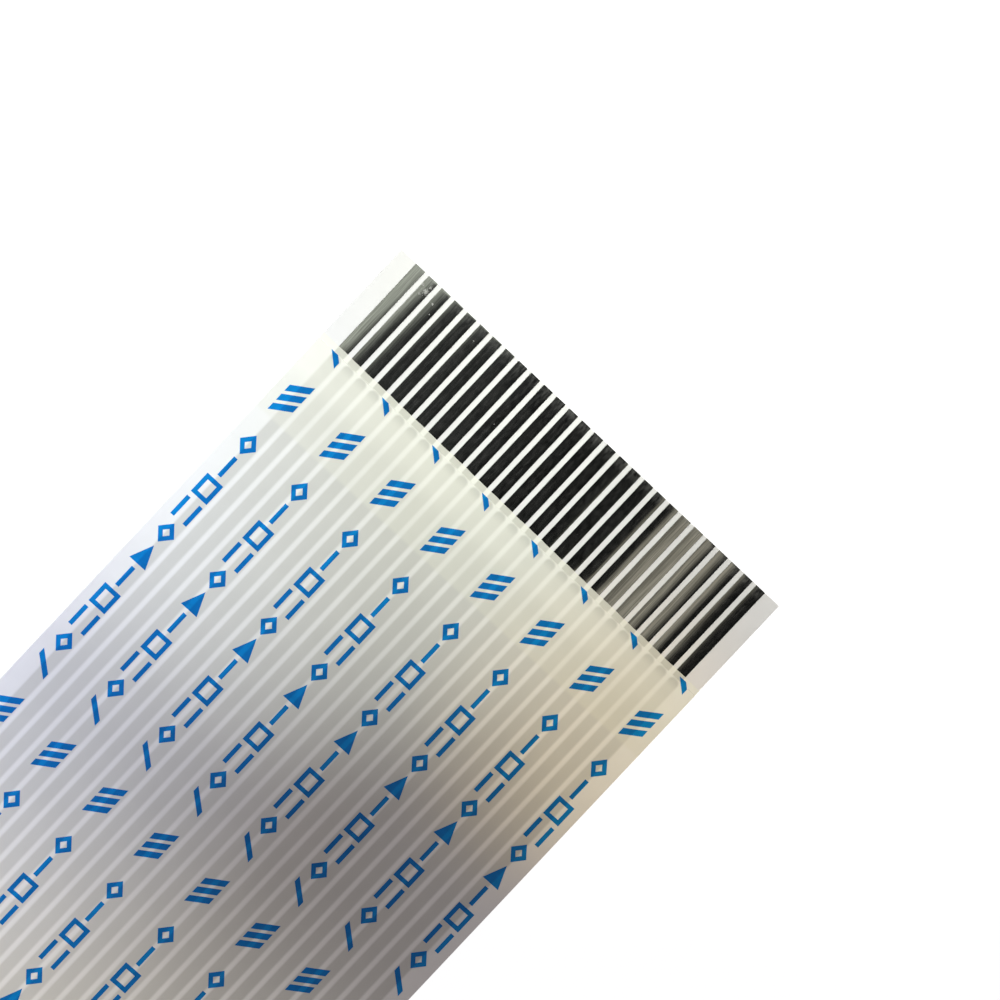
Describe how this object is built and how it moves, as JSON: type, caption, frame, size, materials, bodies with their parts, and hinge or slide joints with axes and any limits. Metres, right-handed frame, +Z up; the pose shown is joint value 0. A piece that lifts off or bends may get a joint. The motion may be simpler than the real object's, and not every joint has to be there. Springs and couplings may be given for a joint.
{
  "type": "flat flex cable",
  "caption": "Flat flex cable with bare flat contacts on one face at each end, stiffened end tabs and rows of plain blue marks on its white tape.",
  "frame": {"origin": "middle of the cable's underside, in the plane of the two stiffeners' lower faces", "axes": "+Y along the cable towards end a, +X across it, +Z up out of the face with the contacts and the print"},
  "size_m": [0.03, 0.1, 0.0004],
  "materials": {
    "tinned_copper": "bright rolled tin plating on flat copper wire",
    "polyester_tape": "thin milky polyester tape, satin gloss",
    "stiffener_tape": "thicker milky polyester tape, satin gloss",
    "blue_ink": "flat printed blue ink"
  },
  "bodies": {
    "root": {"wire_01": "tinned_copper", "wire_02": "tinned_copper", "wire_03": "tinned_copper", "wire_04": "tinned_copper", "wire_05": "tinned_copper", "wire_06": "tinned_copper", "wire_07": "tinned_copper", "wire_08": "tinned_copper", "wire_09": "tinned_copper", "wire_10": "tinned_copper", "wire_11": "tinned_copper", "wire_12": "tinned_copper", "wire_13": "tinned_copper", "wire_14": "tinned_copper", "wire_15": "tinned_copper", "wire_16": "tinned_copper", "wire_17": "tinned_copper", "wire_18": "tinned_copper", "wire_19": "tinned_copper", "wire_20": "tinned_copper", "wire_21": "tinned_copper", "wire_22": "tinned_copper", "wire_23": "tinned_copper", "wire_24": "tinned_copper", "wire_25": "tinned_copper", "wire_26": "tinned_copper", "wire_27": "tinned_copper", "wire_28": "tinned_copper", "upper_tape": "polyester_tape", "lower_tape": "polyester_tape", "stiffener_a": "stiffener_tape", "stiffener_b": "stiffener_tape", "print_marks": "blue_ink"}
  },
  "joints": []
}
